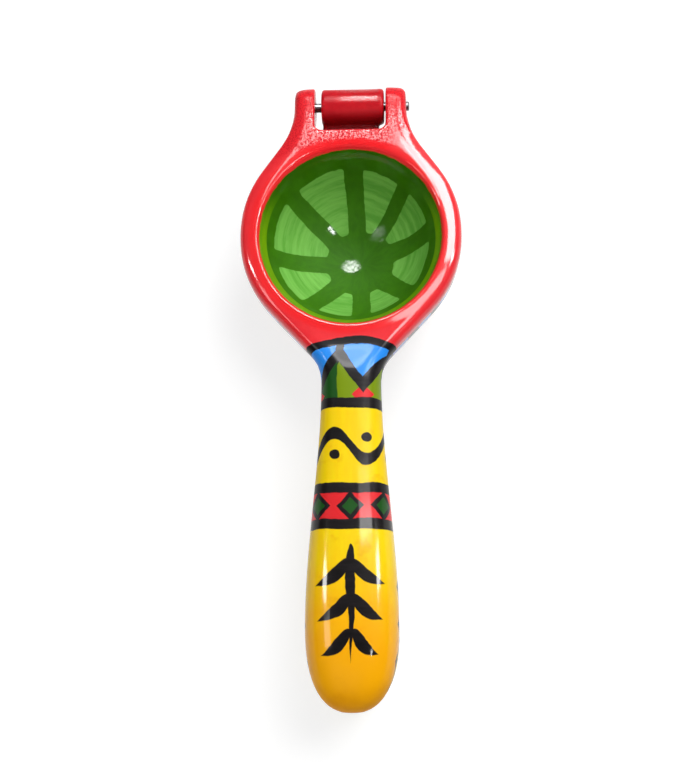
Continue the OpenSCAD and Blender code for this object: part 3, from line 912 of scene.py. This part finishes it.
studio = {
    "floorSize": 6.0, "floorTone": 0.44, "floorLift": 0.68,
    "skyLow": 0.35, "skyTop": 0.18, "skyRise": (0.1, 0.75), "ceiling": 0.015, "horizon": (0.0, 0.2),
    # Lamps that light the paint: name, shape, place, aim, spin, width, height, watts
    "fills": [
        ("key", "RECTANGLE", (0.68, 0.80, 1.17), (0, -0.03, 0.03), 0, 1.3, 1.3, 25.5),
        ("front", "RECTANGLE", (-0.30, -0.95, 1.10), (0, -0.08, 0.03), 0, 0.9, 0.9, 7.0),
    ],
    # Lamps that only show as reflections, in the same order
    "shines": [
        ("softBox", "RECTANGLE", (0.158, 0.115, 0.207), (0.030, 0.01, 0.034), -36, 0.19, 0.095, 1.35),
        ("low", "RECTANGLE", (0.115, -0.005, 0.30), (0.115, -0.005, 0.0), 10, 0.16, 0.042, 0.25),
        ("top", "RECTANGLE", (0.0, 0.157, 0.30), (0, 0.03, 0.034), 0, 0.20, 0.040, 0.26),
        ("back", "ELLIPSE", (0.05, 0.68, 0.78), (0, 0.02, 0.03), 0, 0.66, 0.50, 17.0),
        ("right", "RECTANGLE", (0.879, 0.143, 0.824), (0.009, -0.115, 0.038), 0, 0.10, 0.25, 3.2),
        ("left", "RECTANGLE", (-0.842, 0.111, 0.866), (-0.008, -0.117, 0.038), 0, 0.10, 0.25, 2.7),
        ("small", "ELLIPSE", (0.88, -0.45, 1.78), (0, -0.06, 0.03), 0, 0.15, 0.15, 2.2),
        ("glow", "RECTANGLE", (-0.70, -0.125, 0.973), (0, 0, 0.02), 0, 0.26, 0.30, 1.5),
    ],
}


def backdropShare(tree):
    # Camera, mirror and glass rays see the backdrop as white
    path = put(tree, "ShaderNodeLightPath")
    share = Wire(tree, path.outputs["Is Camera Ray"])
    return share.high(path.outputs["Is Glossy Ray"]).high(path.outputs["Is Transmission Ray"])


def paleFloor():
    bm = bmesh.new()
    bmesh.ops.create_grid(bm, x_segments=1, y_segments=1, size=studio["floorSize"] / 2)
    mesh = bpy.data.meshes.new("paleFloor")
    bm.to_mesh(mesh)
    bm.free()
    floor = bpy.data.objects.new("paleFloor", mesh)
    scene.collection.objects.link(floor)
    material = bpy.data.materials.new("palePaper")
    material.use_nodes = True
    tree = material.node_tree
    tree.nodes.remove(tree.nodes["Principled BSDF"])
    level = studio["floorTone"]
    matte = put(tree, "ShaderNodeBsdfDiffuse", {"Color": (level, level, level, 1)})
    glow = put(tree, "ShaderNodeEmission", {"Strength": backdropShare(tree) * studio["floorLift"]})
    both = put(tree, "ShaderNodeAddShader", {0: matte.outputs[0], 1: glow.outputs[0]})
    feed(tree, tree.nodes["Material Output"].inputs["Surface"], both.outputs[0])
    mesh.materials.append(material)


def studioSky():
    world = bpy.data.worlds.new("studioSky")
    world.use_nodes = True
    scene.world = world
    tree = world.node_tree
    coords = put(tree, "ShaderNodeTexCoord")
    upward = axes(tree, coords.outputs["Generated"])[2]
    light = blendValue(tree, upward.ease(*studio["skyRise"]), studio["skyLow"], studio["skyTop"])
    seen = blendValue(tree, upward.ease(*studio["horizon"]), 1.0, studio["ceiling"])
    level = blendValue(tree, backdropShare(tree), light, seen)
    feed(tree, tree.nodes["Background"].inputs["Strength"], level)
    tree.nodes["Background"].inputs["Color"].default_value = (1, 1, 1, 1)


def lamp(name, shape, spot, aim, spin, width, height, watts, shine):
    data = bpy.data.lights.new(name + "Lamp", "AREA")
    data.shape = shape
    data.size = width
    data.size_y = height
    data.energy = watts
    light = bpy.data.objects.new(name + "Lamp", data)
    light.location = spot
    look = (Vector(aim) - Vector(spot)).to_track_quat("-Z", "Y")
    light.rotation_euler = (look @ Quaternion((0, 0, 1), math.radians(spin))).to_euler()
    light.visible_camera = False
    light.visible_diffuse = not shine
    light.visible_glossy = shine
    scene.collection.objects.link(light)


paleFloor()
studioSky()
for settings in studio["fills"]:
    lamp(*settings, shine=False)
for settings in studio["shines"]:
    lamp(*settings, shine=True)

# Camera over the handle, looking down along the press; place in metres, picture 700 x 784
cameraView = {
    "place": (0.02689, -0.17980, 0.56794), "leanX": -2.825, "leanY": 13.106, "roll": 0.156,
    "focalPixels": 1652.2, "pictureHigh": 784, "sensor": 36.0, "clipStart": 0.01,
}


def photoCamera():
    view = cameraView
    data = bpy.data.cameras.new("photoCamera")
    data.sensor_fit = "VERTICAL"
    data.sensor_height = view["sensor"]
    data.lens = view["focalPixels"] * view["sensor"] / view["pictureHigh"]
    data.clip_start = view["clipStart"]
    camera = bpy.data.objects.new("photoCamera", data)
    scene.collection.objects.link(camera)
    sideways = math.sin(math.radians(view["leanX"]))
    onward = math.sin(math.radians(view["leanY"]))
    forward = Vector((sideways, onward, -math.sqrt(1 - sideways ** 2 - onward ** 2)))
    roll = math.radians(view["roll"])
    upward = Vector((math.sin(roll), math.cos(roll), 0))
    upward = (upward - forward * forward.dot(upward)).normalized()
    right = forward.cross(upward)
    turn = Matrix((right, upward, -forward)).transposed().to_4x4()
    camera.matrix_world = Matrix.Translation(view["place"]) @ turn
    scene.camera = camera


photoCamera()
print("studio done")
